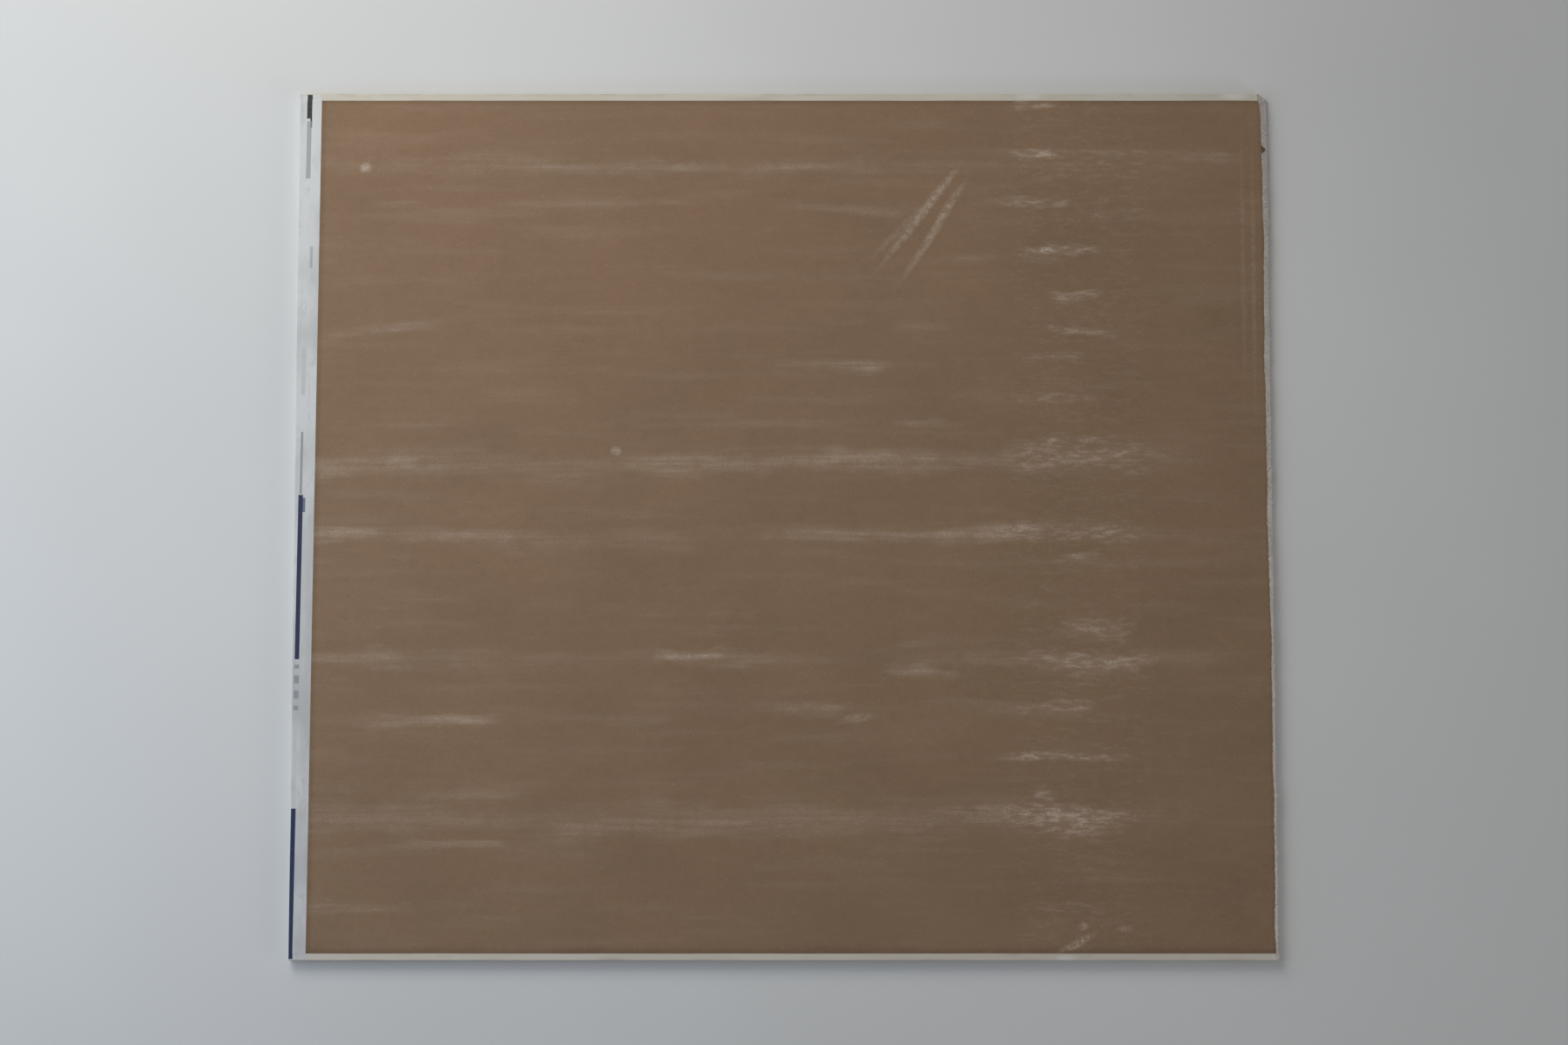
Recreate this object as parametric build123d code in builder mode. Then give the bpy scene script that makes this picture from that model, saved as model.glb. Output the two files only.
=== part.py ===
from build123d import *
import os
from math import pi, sin

# Offcut of paper-faced gypsum board, lying face down with its brown back paper up.
# X runs along the cut length, Y across the factory width, and +Z up from the floor.
# The origin is under the middle of the sheet. The end at -X is the factory end, which
# keeps its white tape; the end at +X was scored on the face and snapped. Sizes in mm.

# Sheet over both papers
board_length = 1371.6
board_width = 1219.2
board_thickness = 15.9

# Facing papers
face_paper_thickness = 0.35
back_paper_thickness = 0.3
flap_lap = 26.0
back_paper_margin = 10.0

# Formed long edges: the face falls away so that a joint can be filled flush
taper_width = 60.0
taper_depth = 1.6
edge_radius = 1.5

# Tape on the factory end: a skewed lap pressed into the back, and a leg over the end
tape_thickness = 0.15
tape_bed = 0.05
tape_lap_wide = 31.0
tape_lap_narrow = 23.5
tape_leg_gap = 3.0

# Snapped end: cut straight by the knife at the face, then broken off on a slope that
# comes out set back and uneven at the back
score_depth = 1.2
snap_setback = 8.0
snap_drift = 3.5
snap_wander = 0.8
snap_ripple = 0.35
snap_points = 41

# Knocked corner of the snapped end
corner_loss_length = 12.0
corner_loss_width = 8.0

# Derived places
half_width = board_width / 2
factory_end = (tape_thickness - board_length) / 2
scored_end = factory_end + board_length
wrap_top = board_thickness - back_paper_thickness
back_paper_width = board_width - 2 * back_paper_margin
score_top = face_paper_thickness + score_depth


def break_line(y):
    """X of the break at the back of the sheet, at the distance y from its middle."""
    turn = 2 * pi * y / board_width
    drift = snap_drift * y / half_width
    wander = snap_wander * (sin(1.7 * turn + 0.6) + 0.6 * sin(4.3 * turn + 2.1))
    ripple = snap_ripple * (sin(11.0 * turn + 1.3) + 0.7 * sin(17.0 * turn + 0.4))
    return scored_end - snap_setback - drift - wander - ripple


# Cross-section inside the back paper: tapered face, rounded long edges
with BuildSketch(Plane.YZ.offset(factory_end)) as wrapped_section:
    with BuildLine():
        Polyline(
            (-half_width, wrap_top),
            (-half_width, taper_depth),
            (taper_width - half_width, 0),
            (half_width - taper_width, 0),
            (half_width, taper_depth),
            (half_width, wrap_top),
            close=True,
        )
    make_face()
    by_width = wrapped_section.vertices().group_by(Axis.X)
    fillet(by_width[0] + by_width[-1], edge_radius)

# The same section less the face paper, which wraps the core and laps onto its back
with BuildSketch(Plane.YZ.offset(factory_end)) as core_section:
    add(wrapped_section.sketch_local)
    offset(amount=-face_paper_thickness, mode=Mode.REPLACE)
    with Locations((0, wrap_top)):
        Rectangle(
            board_width - 2 * flap_lap,
            2 * face_paper_thickness,
            align=(Align.CENTER, Align.MAX),
        )

# Plan of the sheet at the scored face
with BuildSketch() as scored_plan:
    with Locations((factory_end, 0)):
        Rectangle(board_length, board_width, align=(Align.MIN, Align.CENTER))

# Envelope of the sheet: square at the score, then sloping back to the break line
with BuildPart() as snapped_blank:
    extrude(scored_plan.sketch, amount=score_top)
    with BuildSketch(Plane.XY.offset(score_top)):
        add(scored_plan.sketch)
    with BuildSketch(Plane.XY.offset(board_thickness)):
        with BuildLine():
            steps = [half_width * (2 * i / (snap_points - 1) - 1) for i in range(snap_points)]
            Polyline(
                (break_line(half_width), half_width),
                (factory_end, half_width),
                (factory_end, -half_width),
                (break_line(-half_width), -half_width),
            )
            Spline(*[(break_line(y), y) for y in steps])
        make_face()
    loft(ruled=True)
    with BuildSketch():
        with BuildLine():
            Polyline(
                (scored_end - corner_loss_length, half_width),
                (scored_end, half_width - corner_loss_width),
                (scored_end, half_width),
                close=True,
            )
        make_face()
    extrude(amount=board_thickness, mode=Mode.SUBTRACT)

# White end tape: it steps down from the back paper to the flaps and folds over the end
with BuildPart() as end_tape:
    with BuildSketch(Plane.YZ.offset(factory_end - tape_thickness)):
        with Locations((0, tape_leg_gap)):
            Rectangle(
                board_width - 2 * edge_radius,
                wrap_top - tape_bed + tape_thickness - tape_leg_gap,
                align=(Align.CENTER, Align.MIN),
            )
            Rectangle(
                back_paper_width + 2 * tape_thickness,
                board_thickness - tape_bed + tape_thickness - tape_leg_gap,
                align=(Align.CENTER, Align.MIN),
            )
    extrude(amount=tape_thickness + tape_lap_wide)
    with BuildSketch(Plane.YZ.offset(factory_end)):
        Rectangle(board_width, wrap_top - tape_bed, align=(Align.CENTER, Align.MIN))
        Rectangle(back_paper_width, board_thickness - tape_bed, align=(Align.CENTER, Align.MIN))
    extrude(amount=tape_lap_wide, mode=Mode.SUBTRACT)
    with BuildSketch():
        with BuildLine():
            Polyline(
                (factory_end + tape_lap_narrow, -half_width),
                (factory_end + tape_lap_wide, half_width),
                (factory_end + tape_lap_wide, -half_width),
                close=True,
            )
        make_face()
    extrude(amount=board_thickness + tape_thickness, mode=Mode.SUBTRACT)

# Gypsum core, tapered at both long edges, with a shallow rebate under each paper flap
with BuildPart() as gypsum_core:
    extrude(core_section.sketch, amount=board_length)
    add(snapped_blank.part, mode=Mode.INTERSECT)

# Ivory face paper in one piece: the face, both long edges and the flaps on the back
with BuildPart() as face_paper:
    extrude(wrapped_section.sketch, amount=board_length)
    extrude(core_section.sketch, amount=board_length, mode=Mode.SUBTRACT)
    add(snapped_blank.part, mode=Mode.INTERSECT)
    add(end_tape.part, mode=Mode.SUBTRACT)

# Brown back paper, laid over the flaps and short of both long edges
with BuildPart() as back_paper:
    with BuildSketch(Plane.YZ.offset(factory_end)):
        with Locations((0, wrap_top)):
            Rectangle(back_paper_width, back_paper_thickness, align=(Align.CENTER, Align.MIN))
    extrude(amount=board_length)
    add(snapped_blank.part, mode=Mode.INTERSECT)
    add(end_tape.part, mode=Mode.SUBTRACT)

gypsum_core.part.label = "gypsum_core"
face_paper.part.label = "face_paper"
back_paper.part.label = "back_paper"
end_tape.part.label = "end_tape"

os.makedirs("parts", exist_ok=True)
export_step(gypsum_core.part, "parts/gypsum_core.step")
export_step(face_paper.part, "parts/face_paper.step")
export_step(back_paper.part, "parts/back_paper.step")
export_step(end_tape.part, "parts/end_tape.step")
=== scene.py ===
"""Looks of a drywall sheet: an offcut of gypsum board that lies on its ivory face.

Its brown paper back is up, the end at -X keeps its white tape, and the end at +X was
scored and snapped. Places and sizes are in metres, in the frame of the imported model:
X along the cut length, Y across the factory width and Z up from the floor.
"""
import logging
import math
from collections.abc import Iterable, Mapping, Sequence
from dataclasses import dataclass
from enum import Enum
from typing import TypeAlias

import bmesh
import bpy
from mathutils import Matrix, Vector, noise


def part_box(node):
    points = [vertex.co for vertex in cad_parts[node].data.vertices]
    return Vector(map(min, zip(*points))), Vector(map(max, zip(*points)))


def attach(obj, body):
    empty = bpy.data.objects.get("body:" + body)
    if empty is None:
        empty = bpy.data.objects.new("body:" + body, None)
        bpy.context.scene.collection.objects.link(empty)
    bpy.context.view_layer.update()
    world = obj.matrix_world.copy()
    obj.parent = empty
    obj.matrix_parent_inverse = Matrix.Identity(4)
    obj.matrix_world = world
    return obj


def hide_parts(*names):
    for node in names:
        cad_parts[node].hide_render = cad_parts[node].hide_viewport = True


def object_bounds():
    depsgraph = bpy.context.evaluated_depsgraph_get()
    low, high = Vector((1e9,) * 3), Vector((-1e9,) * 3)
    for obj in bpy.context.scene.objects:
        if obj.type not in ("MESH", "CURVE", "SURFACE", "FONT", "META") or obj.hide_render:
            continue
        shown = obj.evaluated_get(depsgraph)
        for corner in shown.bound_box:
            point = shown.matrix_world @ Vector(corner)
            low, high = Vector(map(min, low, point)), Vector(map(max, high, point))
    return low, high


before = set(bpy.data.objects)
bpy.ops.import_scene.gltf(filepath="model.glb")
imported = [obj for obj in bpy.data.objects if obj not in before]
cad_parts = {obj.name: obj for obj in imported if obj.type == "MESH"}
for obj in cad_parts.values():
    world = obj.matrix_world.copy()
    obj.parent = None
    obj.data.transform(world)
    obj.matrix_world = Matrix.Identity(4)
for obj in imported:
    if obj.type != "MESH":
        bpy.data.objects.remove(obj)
cad_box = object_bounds()

log = logging.getLogger("drywall_sheet")

MM = 0.001
ROOT_BODY = "root"
NOISE_SEED = 5

# Facets of the broken gypsum: height beside width, steepness, width of the groove between
# two, and what spreads their middles over the noise that tilts them.
FACET_HEIGHT = 0.6
FACET_TILT = 2.6
FACET_SINK = 0.42
FACET_SPREAD = 3.7

Pair: TypeAlias = tuple[float, float]
Point: TypeAlias = tuple[float, float, float]
Rgb: TypeAlias = tuple[float, float, float]
Rows: TypeAlias = Sequence[Sequence[int]]
Feed: TypeAlias = "Value | bpy.types.NodeSocket | float | Sequence[float]"


class Value:
    """Number output of a shader node. Arithmetic on it adds Math nodes to its shader."""

    def __init__(self, shader: "Shader", socket: bpy.types.NodeSocket) -> None:
        """Keep the socket and the shader that it belongs to."""
        self.shader = shader
        self.socket = socket

    def _math(self, operation: str, *terms: "Value | float") -> "Value":
        """Add one Math node to the shader.

        Args:
            operation: Blender's name of the operation.
            terms: Inputs of the node, in their order.

        Returns:
            The node's output.
        """
        return self.shader.value("ShaderNodeMath", dict(enumerate(terms)), operation=operation)

    def __add__(self, other: "Value | float") -> "Value":
        """Sum of this and another value."""
        return self._math("ADD", self, other)

    def __sub__(self, other: "Value | float") -> "Value":
        """This value less another."""
        return self._math("SUBTRACT", self, other)

    def __rsub__(self, other: float) -> "Value":
        """A number less this value."""
        return self._math("SUBTRACT", other, self)

    def __mul__(self, other: "Value | float") -> "Value":
        """Product of this and another value."""
        return self._math("MULTIPLY", self, other)

    def __abs__(self) -> "Value":
        """Size of this value without its sign."""
        return self._math("ABSOLUTE", self)

    def __truediv__(self, other: "Value | float") -> "Value":
        """This value divided by another."""
        return self._math("DIVIDE", self, other)

    __radd__ = __add__
    __rmul__ = __mul__

    def sine(self) -> "Value":
        """Sine of this value, in radians."""
        return self._math("SINE", self)

    def fraction(self) -> "Value":
        """What this value has past the whole number below it."""
        return self._math("FRACT", self)

    def most(self, other: "Value | float") -> "Value":
        """The larger of this and another value."""
        return self._math("MAXIMUM", self, other)

    def fade(self, start: float, end: float, full: float = 1.0) -> "Value":
        """Smooth step of this value.

        Args:
            start: Where the step is still 0. It may lie above end.
            end: Where the step is full.
            full: Its value from there on.

        Returns:
            The step, held at 0 and at full outside.
        """
        ends = {"Value": self, "From Min": start, "From Max": end, "To Min": 0.0, "To Max": full}
        return self.shader.value("ShaderNodeMapRange", ends, interpolation_type="SMOOTHSTEP")

    def band(self, middle: float, half: float, soft: float, full: float = 1.0) -> "Value":
        """Smooth band round one value.

        Args:
            middle: Value at the middle of the band.
            half: Half of its width, to where it is 0.
            soft: Width of each of its soft edges.
            full: Its value inside.

        Returns:
            The band, 0 outside.
        """
        return abs(self - middle).fade(half, max(half - soft, 0.0), full)


class Shader:
    """Node graph of one material, round a Principled shader."""

    COLOUR_A, COLOUR_B, COLOUR_RESULT = 6, 7, 2
    SCALE_INPUT = 3

    def __init__(self, name: str) -> None:
        """Make the material, with its coordinates in the frame of the model."""
        self.material = bpy.data.materials.new(name)
        self.material.use_nodes = True
        self.tree = self.material.node_tree
        self.surface = self.tree.nodes["Principled BSDF"]
        self.place = self.node("ShaderNodeTexCoord").outputs["Object"]
        axes = self.node("ShaderNodeSeparateXYZ", {0: self.place}).outputs
        self.x, self.y, self.z = (Value(self, axis) for axis in axes)

    def node(
        self, kind: str, inputs: Mapping[str | int, Feed] | None = None, **settings: object
    ) -> bpy.types.Node:
        """Add any node.

        Args:
            kind: Blender's name of the node's type.
            inputs: Value or link of each socket, by name or index.
            settings: The node's own settings, which are set before its sockets.

        Returns:
            The new node.
        """
        made = self.tree.nodes.new(kind)
        for name, setting in settings.items():
            if name == "curve":
                self.set_curve(made.mapping, setting)
            else:
                setattr(made, name, setting)
        for key, feed in (inputs or {}).items():
            self.feed(made.inputs[key], feed)
        return made

    @staticmethod
    def set_curve(mapping: bpy.types.CurveMapping, points: Sequence[Pair]) -> None:
        """Lay a float curve through points.

        Args:
            mapping: The curve's mapping.
            points: Two or more points, in the order of their first number.
        """
        held = mapping.curves[0].points
        held[0].location, held[1].location = points[0], points[-1]
        for point in points[1:-1]:
            held.new(*point)
        for point in held:
            point.handle_type = "AUTO_CLAMPED"
        mapping.update()

    def value(
        self, kind: str, inputs: Mapping[str | int, Feed], output: str | int = 0, **settings: object
    ) -> Value:
        """Add a node, as node does, and wrap one of its outputs."""
        return Value(self, self.node(kind, inputs, **settings).outputs[output])

    def feed(self, socket: bpy.types.NodeSocket, feed: Feed) -> None:
        """Link a socket, or set its value.

        Args:
            socket: An input of this shader's tree.
            feed: Value or socket to link, or what to set.
        """
        if isinstance(feed, Value):
            self.tree.links.new(feed.socket, socket)
        elif isinstance(feed, bpy.types.NodeSocket):
            self.tree.links.new(feed, socket)
        else:
            socket.default_value = feed

    def stretched(self, per_metre: Point) -> bpy.types.NodeSocket:
        """The place times a number for each axis, as a texture's vector."""
        inputs = {0: self.place, 1: per_metre}
        return self.node("ShaderNodeVectorMath", inputs, operation="MULTIPLY").outputs[0]

    def clouds(self, per_metre: Point, detail: float = 2.0, rough: float = 0.5) -> Value:
        """Soft noise.

        Args:
            per_metre: How many features it has in a metre, along each axis.
            detail: Octaves of finer noise on it.
            rough: Strength of each finer octave against the last.

        Returns:
            The noise, mostly from 0.3 to 0.7.
        """
        inputs = {"Vector": self.stretched(per_metre), "Scale": 1.0}
        inputs |= {"Detail": detail, "Roughness": rough}
        return self.value("ShaderNodeTexNoise", inputs)

    def cells(self, per_metre: Point) -> Value:
        """Distance to the nearest of many scattered points, in features of the size given."""
        inputs = {"Vector": self.stretched(per_metre), "Scale": 1.0}
        return self.value("ShaderNodeTexVoronoi", inputs)

    def hairs(self, per_metre: Point, width: float) -> Value:
        """Short curved fibres, drawn where a soft noise passes its middle.

        Args:
            per_metre: How many of them lie in a metre, along each axis.
            width: How far from its middle the noise still draws them.

        Returns:
            The fibres, 1 along their middles and 0 between them.
        """
        line = abs(self.clouds(per_metre, 1.0) - 0.5).fade(width, 0.0)
        return line * self.clouds(tuple(1.3 * axis for axis in per_metre), 0.0).fade(0.52, 0.60)

    def mix(self, share: Value | float, first: Feed, second: Feed) -> bpy.types.NodeSocket:
        """Blend two colours.

        Args:
            share: Share of the second colour, from 0 to 1.
            first: Colour at 0.
            second: Colour at 1.

        Returns:
            The blended colour.
        """
        inputs = {0: share, self.COLOUR_A: as_colour(first), self.COLOUR_B: as_colour(second)}
        return self.node("ShaderNodeMix", inputs, data_type="RGBA").outputs[self.COLOUR_RESULT]

    def toned(self, colour: bpy.types.NodeSocket, strength: Value) -> bpy.types.NodeSocket:
        """A colour times a number that varies."""
        inputs = {0: colour, self.SCALE_INPUT: strength}
        return self.node("ShaderNodeVectorMath", inputs, operation="SCALE").outputs[0]

    def finish(
        self, colour: Feed, roughness: Value | float, relief: Value | None, gloss: float
    ) -> bpy.types.Material:
        """Feed the Principled shader.

        Args:
            colour: Colour of the surface.
            roughness: Its roughness.
            relief: Height of its fine relief in metres, or None.
            gloss: Specular level, the same all over.

        Returns:
            The finished material.
        """
        self.feed(self.surface.inputs["Base Color"], as_colour(colour))
        self.feed(self.surface.inputs["Roughness"], roughness)
        self.surface.inputs["Specular IOR Level"].default_value = gloss
        if relief is not None:
            bump = self.node("ShaderNodeBump", {"Height": relief, "Distance": 1.0, "Strength": 1.0})
            self.feed(self.surface.inputs["Normal"], bump.outputs[0])
        return self.material


def as_colour(feed: Feed) -> Feed:
    """A plain colour with its alpha, and anything else as it is."""
    return (*feed, 1.0) if isinstance(feed, tuple) else feed


def sine(turn: Value | float) -> Value | float:
    """Sine of a shader's value or of a number, in radians."""
    return turn.sine() if isinstance(turn, Value) else math.sin(turn)


def smooth(value: float, start: float, end: float) -> float:
    """Smooth step of a number, 0 at start and 1 at end."""
    share = min(max((value - start) / (end - start), 0.0), 1.0)
    return share * share * (3 - 2 * share)


def between(first: float, last: float, share: float) -> float:
    """The number at a share of the way from one to another."""
    return first + (last - first) * share


def stations(start: float, end: float, step: float) -> list[float]:
    """Even stations from start to end, both among them, about a step apart."""
    count = max(1, round(abs(end - start) / step))
    return [between(start, end, i / count) for i in range(count + 1)]


def quarter_turn(steps: int) -> list[float]:
    """Even angles from 0 to a right angle, in radians."""
    return [math.pi / 2 * i / steps for i in range(steps + 1)]


def mirrored(middle: Iterable[float], outer: Sequence[float]) -> list[float]:
    """Stations on both sides of 0, from those in the middle and the outer ones at +Y."""
    return [*(-y for y in reversed(outer)), *middle, *outer]


def grit(amount: float, *place: float) -> float:
    """Fractal noise of three octaves that is the same on each run.

    Args:
        amount: About the most that it reaches either way.
        place: One to three coordinates, in features. A bare number as the last of them
            picks a pattern that no other use shares.

    Returns:
        The noise at that place.
    """
    spot = Vector((*place, 0.0, 0.0)[:3])
    return amount * noise.fractal(spot, 1.0, 2.0, 3)


def facets(size: float, y: float, z: float) -> float:
    """Chipped surface of tilted facets, which sink where they meet.

    Args:
        size: About how wide a facet is.
        y: Distance along the surface.
        z: Distance up it.

    Returns:
        The surface's height, mostly between -1 and 1.
    """
    spot = Vector((y / size, z / (FACET_HEIGHT * size), 0.5))
    distances, middles = noise.voronoi(spot)
    middle = middles[0]
    tilt = noise.noise_vector(middle * FACET_SPREAD) * FACET_TILT
    height = abs(tilt.z) + tilt.x * (spot.x - middle.x) + tilt.y * (spot.y - middle.y)
    return height * smooth(distances[1] - distances[0], 0.0, FACET_SINK)


def place_object(name: str, data: bpy.types.ID) -> bpy.types.Object:
    """Put a mesh, a lamp or a camera into the scene.

    Args:
        name: Name of the new object.
        data: What it holds.

    Returns:
        The object.
    """
    made = bpy.data.objects.new(name, data)
    bpy.context.scene.collection.objects.link(made)
    return made


class Shell:
    """Vertices and faces of one closed piece, gathered row by row."""

    CREASE = math.radians(45)

    def __init__(self) -> None:
        """Start with nothing."""
        self.points: list[Point] = []
        self.faces: list[tuple[int, ...]] = []

    def row(self, points: Iterable[Point]) -> list[int]:
        """Add a row of points.

        Args:
            points: The points, in their order.

        Returns:
            Their numbers in the shell.
        """
        first = len(self.points)
        self.points.extend(points)
        return list(range(first, len(self.points)))

    def bridge(self, first: Sequence[int], second: Sequence[int]) -> None:
        """Join two rows of as many points with quads."""
        for i in range(len(first) - 1):
            self.faces.append((first[i], first[i + 1], second[i + 1], second[i]))

    def bridge_rows(self, rows: Rows) -> None:
        """Join each row with the next."""
        for first, second in zip(rows, rows[1:]):
            self.bridge(first, second)

    def close_sheets(self, outer: Rows, inner: Rows) -> None:
        """Fill in two sheets of as many rows, and join them along all four sides.

        Args:
            outer: Rows of one sheet.
            inner: Rows of the other.
        """
        for sheet in (outer, inner):
            self.bridge_rows(sheet)
        for end in (0, -1):
            self.bridge(outer[end], inner[end])
            self.bridge([row[end] for row in outer], [row[end] for row in inner])

    def piece(self, name: str, node: str, slot: str, finish: bpy.types.Material) -> None:
        """Make the piece, which rides on the body and stands for its CAD node.

        Args:
            name: Name of the piece.
            node: CAD node that it stands for.
            slot: Not used.
            finish: Its material.
        """
        mesh = bpy.data.meshes.new(name)
        mesh.from_pydata(self.points, [], self.faces)
        self.turn_outward(mesh, name)
        mesh.polygons.foreach_set("use_smooth", [True] * len(mesh.polygons))
        mesh.set_sharp_from_angle(angle=self.CREASE)
        mesh.materials.append(finish)
        made = place_object(name, mesh)
        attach(made, ROOT_BODY)
        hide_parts(node)
        log.info("%s: %d vertices, %d faces", name, len(mesh.vertices), len(mesh.polygons))

    @staticmethod
    def turn_outward(mesh: bpy.types.Mesh, name: str) -> None:
        """Turn all faces outward, after a test that the shell is closed.

        Args:
            mesh: Mesh of the piece.
            name: Name to give if the shell has an open edge.
        """
        work = bmesh.new()
        work.from_mesh(mesh)
        bmesh.ops.recalc_face_normals(work, faces=work.faces)
        if any(len(edge.link_faces) != 2 for edge in work.edges):
            raise ValueError(f"the shell of {name} has an open or shared edge")
        work.to_mesh(mesh)
        work.free()


@dataclass(frozen=True)
class Board:
    """Form that the four materials share: the board's section and its snapped end."""

    half_width: float
    flap_top: float
    top: float
    back_half: float
    factory_end: float
    scored_end: float
    face_paper: float = 0.35 * MM
    flap_lap: float = 26 * MM
    taper_width: float = 60 * MM
    taper_depth: float = 1.6 * MM
    edge_radius: float = 1.5 * MM
    score_depth: float = 1.2 * MM
    snap_setback: float = 8 * MM
    snap_drift: float = 3.5 * MM
    snap_wander: float = 0.8 * MM
    snap_ripple: float = 0.35 * MM
    knock_length: float = 12 * MM
    knock_width: float = 8 * MM
    slant_length: float = 5 * MM
    slant_width: float = 20 * MM
    scrap_y: float = 530 * MM
    scrap_half: float = 6.5 * MM
    arris_steps: int = 5

    @classmethod
    def from_frame(cls) -> "Board":
        """Take the board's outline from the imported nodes.

        Returns:
            The board.
        """
        face_low, face_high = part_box("face_paper")
        back_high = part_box("back_paper")[1]
        return cls(
            half_width=face_high.y,
            flap_top=face_high.z,
            top=back_high.z,
            back_half=back_high.y,
            factory_end=face_low.x,
            scored_end=face_high.x,
        )

    @property
    def score_top(self) -> float:
        """Height to which the knife cut the face."""
        return self.face_paper + self.score_depth

    def snap_line(self, y: Value | float) -> Value | float:
        """X of the break at the back.

        Args:
            y: Distance from the middle of the board, as a number or a shader's value.

        Returns:
            X there, of the same kind.
        """
        turn = y * (math.pi / self.half_width)
        drift = y * (self.snap_drift / self.half_width)
        wander = self.snap_wander * (sine(1.7 * turn + 0.6) + 0.6 * sine(4.3 * turn + 2.1))
        ripple = self.snap_ripple * (sine(11.0 * turn + 1.3) + 0.7 * sine(17.0 * turn + 0.4))
        return self.scored_end - self.snap_setback - drift - wander - ripple

    def break_x(self, y: float) -> float:
        """X of the break at the back, with the slant at its knocked corner."""
        corner = smooth(y, self.back_half - self.slant_width, self.half_width)
        return self.snap_line(y) - self.slant_length * corner

    def knock_x(self, y: float) -> float:
        """X that the knocked corner leaves at a distance Y from the middle."""
        past = max(y - (self.half_width - self.knock_width), 0.0)
        return self.scored_end - self.knock_length * past / self.knock_width

    def depth_share(self, z: float) -> float:
        """0 at the top of the knife's cut, 1 at the back of the board."""
        return min(max((z - self.score_top) / (self.top - self.score_top), 0.0), 1.0)

    def under_scrap(self, y: float, full: float) -> float:
        """1 within a share of the bent scrap's half width, fading to 0 at its sides."""
        return 1 - smooth(abs(y - self.scrap_y), full * self.scrap_half, self.scrap_half)

    def end_x(self, y: float, z: float) -> float:
        """X of the snapped end, smoothed, at a place of the section."""
        sloped = between(self.scored_end, self.break_x(y), self.depth_share(z))
        return min(sloped, self.knock_x(y))

    def slope_point(self, y: float, past: float) -> tuple[float, float, float, float]:
        """A place on the slope of the snapped end.

        Args:
            y: Distance from the middle of the board.
            past: How far the place is down the slope from the back.

        Returns:
            X and Z of the place, and X and Z of the slope's outward normal.
        """
        run = self.scored_end - self.break_x(y)
        drop = self.top - self.score_top
        length = math.hypot(run, drop)
        along_x, along_z = run / length, -drop / length
        x = self.break_x(y) + past * along_x
        return x, self.top + past * along_z, -along_z, along_x

    def edge_arc(self, inset: float, centre_z: float, sign: int) -> list[Pair]:
        """Points of a rounded arris, from its level side to its upright side.

        Args:
            inset: How far under the board's outer surface the points lie.
            centre_z: Z of the arc's centre.
            sign: 1 for the upper arris, -1 for the lower one.

        Returns:
            Y and Z of each point, on the +Y side.
        """
        radius = self.edge_radius - inset
        return [
            (self.arris_y + radius * math.sin(turn), centre_z + sign * radius * math.cos(turn))
            for turn in quarter_turn(self.arris_steps)
        ]

    def taper_z(self, y: float) -> float:
        """Height of the board's outer face over the floor, short of its lower arris."""
        past = abs(y) - (self.half_width - self.taper_width)
        return self.taper_depth * max(past, 0.0) / self.taper_width

    @property
    def arris_y(self) -> float:
        """Y of the centres of the rounded arrises."""
        return self.half_width - self.edge_radius

    @property
    def lower_arris_z(self) -> float:
        """Z of the centre of the lower arris."""
        return self.taper_z(self.arris_y) + self.edge_radius

    @property
    def upper_arris_z(self) -> float:
        """Z of the centre of the upper arris."""
        return self.flap_top - self.edge_radius

    def arris_rise(self, y: float, inset: float) -> float:
        """How far the surface at an inset lies from the level of an arris's centre.

        Args:
            y: Distance from the middle of the board, past the centre of the arris.
            inset: How far under the board's outer surface it is.

        Returns:
            The distance, up for the upper arris and down for the lower one.
        """
        radius = self.edge_radius - inset
        past = min(max(abs(y) - self.arris_y, 0.0), radius)
        return math.sqrt(radius * radius - past * past)

    def low_z(self, y: float, inset: float) -> float:
        """Lowest Z of the board's section.

        Args:
            y: Distance from the middle of the board.
            inset: How far under the board's outer surface it is.

        Returns:
            Z of that place.
        """
        if abs(y) > self.arris_y:
            return self.lower_arris_z - self.arris_rise(y, inset)
        return self.taper_z(y) + inset

    def high_z(self, y: float, inset: float) -> float:
        """Highest Z of the board's section, under the back paper.

        Args:
            y: Distance from the middle of the board.
            inset: How far under the board's outer surface it is.

        Returns:
            Z of that place.
        """
        if abs(y) > self.arris_y:
            return self.upper_arris_z + self.arris_rise(y, inset)
        return self.flap_top - inset


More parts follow.
